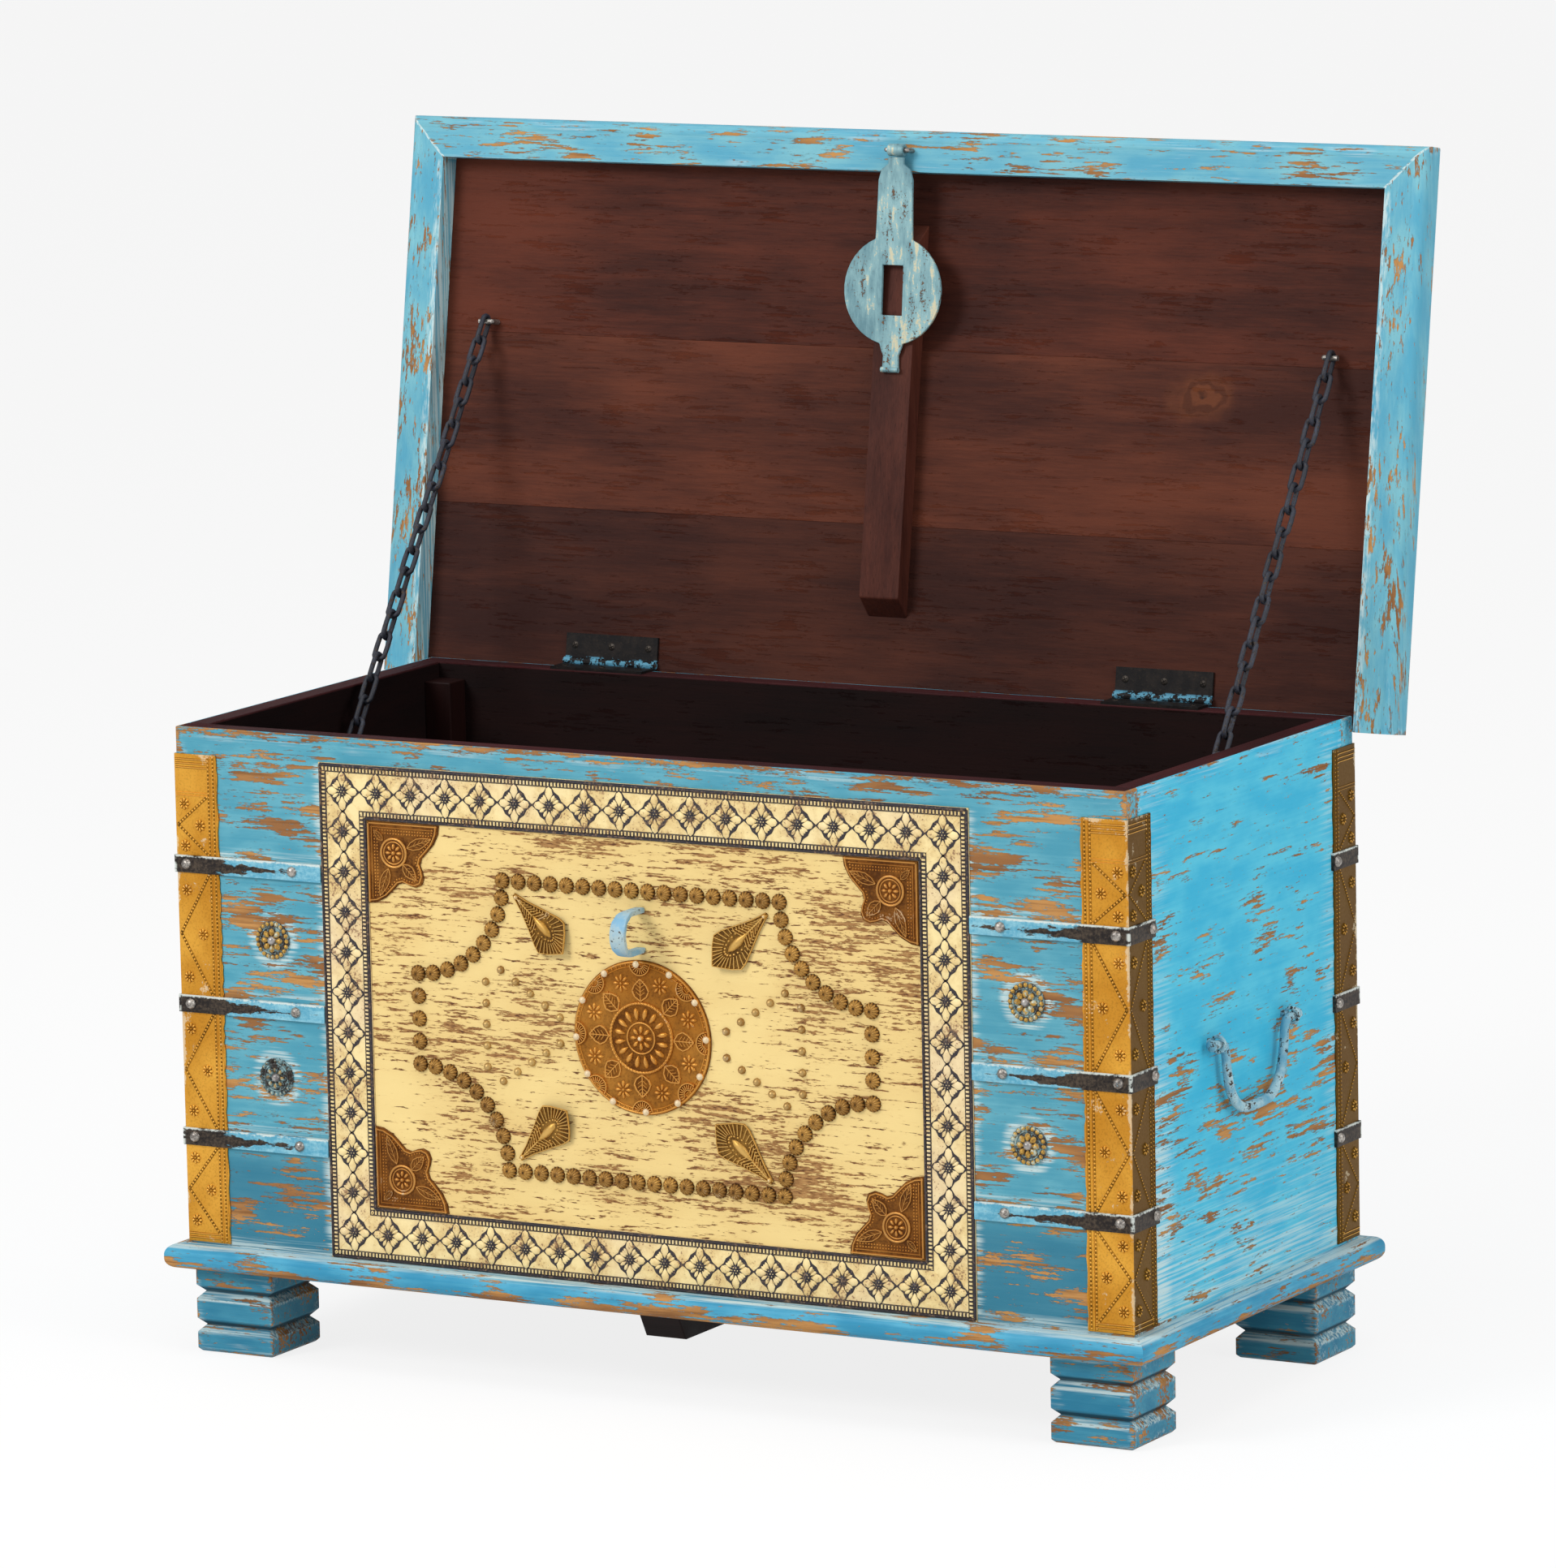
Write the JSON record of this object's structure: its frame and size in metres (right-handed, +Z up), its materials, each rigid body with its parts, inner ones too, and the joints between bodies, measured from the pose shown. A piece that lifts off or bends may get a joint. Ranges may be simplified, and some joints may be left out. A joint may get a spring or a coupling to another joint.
{
  "type": "storage chest",
  "caption": "Painted wooden storage chest on block feet, with a hinged cap lid held by chains, brass ornament, iron straps, side handles and a hasp.",
  "frame": {"origin": "on the floor, under the middle of the case", "axes": "+X to the right along the front, +Y to the back, +Z up"},
  "size_m": [0.988, 0.5515, 1.0111],
  "materials": {
    "painted_wood": "distressed paint",
    "stained_wood": "dark stain",
    "embossed_border": "worn cream paint on embossed sheet",
    "antique_brass": "antique",
    "painted_iron": "worn blue paint over black iron",
    "bright_steel": "worn",
    "dark_bronze": "dark bronze"
  },
  "bodies": {
    "case": {"front_board": "painted_wood", "back_board": "painted_wood", "left_side_board": "painted_wood", "right_side_board": "painted_wood", "front_left_foot": "painted_wood", "front_right_foot": "painted_wood", "back_left_foot": "painted_wood", "back_right_foot": "painted_wood", "front_base_moulding": "painted_wood", "back_base_moulding": "painted_wood", "left_base_moulding": "painted_wood", "right_base_moulding": "painted_wood", "bottom_board": "stained_wood", "inner_corner_posts": "stained_wood", "bottom_batten": "stained_wood", "top_border_strip": "embossed_border", "bottom_border_strip": "embossed_border", "left_border_strip": "embossed_border", "right_border_strip": "embossed_border", "corner_plaques": "antique_brass", "medallion": "antique_brass", "leaf_plaques": "antique_brass", "rosette_bosses": "antique_brass", "boss_studs": "antique_brass", "small_nails": "antique_brass", "front_right_brass_corner": "antique_brass", "front_left_brass_corner": "antique_brass", "back_right_brass_corner": "antique_brass", "back_left_brass_corner": "antique_brass", "front_right_straps": "painted_iron", "front_left_straps": "painted_iron", "back_right_straps": "painted_iron", "back_left_straps": "painted_iron", "front_staple": "painted_iron", "right_handle_eyes": "painted_iron", "left_handle_eyes": "painted_iron", "wall_chain_pegs": "painted_iron", "strap_rivets": "bright_steel", "left_hinge_pin": "bright_steel", "right_hinge_pin": "bright_steel", "left_hinge_case_leaf": "dark_bronze", "right_hinge_case_leaf": "dark_bronze", "hinge_case_screws": "dark_bronze"},
    "lid": {"lid_front_rail": "painted_wood", "lid_left_rail": "painted_wood", "lid_right_rail": "painted_wood", "lid_front_board": "stained_wood", "lid_middle_board": "stained_wood", "lid_rear_board": "stained_wood", "lid_batten": "stained_wood", "left_hinge_lid_leaf": "dark_bronze", "right_hinge_lid_leaf": "dark_bronze", "hinge_lid_screws": "dark_bronze", "hasp_staple": "bright_steel", "lid_chain_hooks": "painted_iron", "right_lid_chain": "painted_iron", "left_lid_chain": "painted_iron"},
    "hasp": {"hasp": "painted_iron"},
    "right_handle": {"right_handle": "painted_iron"},
    "left_handle": {"left_handle": "painted_iron"}
  },
  "joints": [
    {"name": "lid_hinge", "type": "hinge", "parent": "case", "child": "lid", "pos_m": [0, 0.212, 0.5439], "axis": [1, 0, 0], "range_deg": [0, 99.2], "deforming": ["right_lid_chain", "left_lid_chain"]},
    {"name": "hasp_swing", "type": "hinge", "parent": "lid", "child": "hasp", "pos_m": [0, 0.25783, 0.99639], "axis": [1, 0, 0], "range_deg": [-103, 0]},
    {"name": "right_handle_swing", "type": "hinge", "parent": "case", "child": "right_handle", "pos_m": [0.459, 0, 0.311], "axis": [0, -1, 0], "range_deg": [-4, 170]},
    {"name": "left_handle_swing", "type": "hinge", "parent": "case", "child": "left_handle", "pos_m": [-0.459, 0, 0.311], "axis": [0, 1, 0], "range_deg": [-4, 170]}
  ],
  "couplings": [
    {"joint": "hasp_swing", "follows": "lid_hinge", "ratio": -1.032}
  ]
}
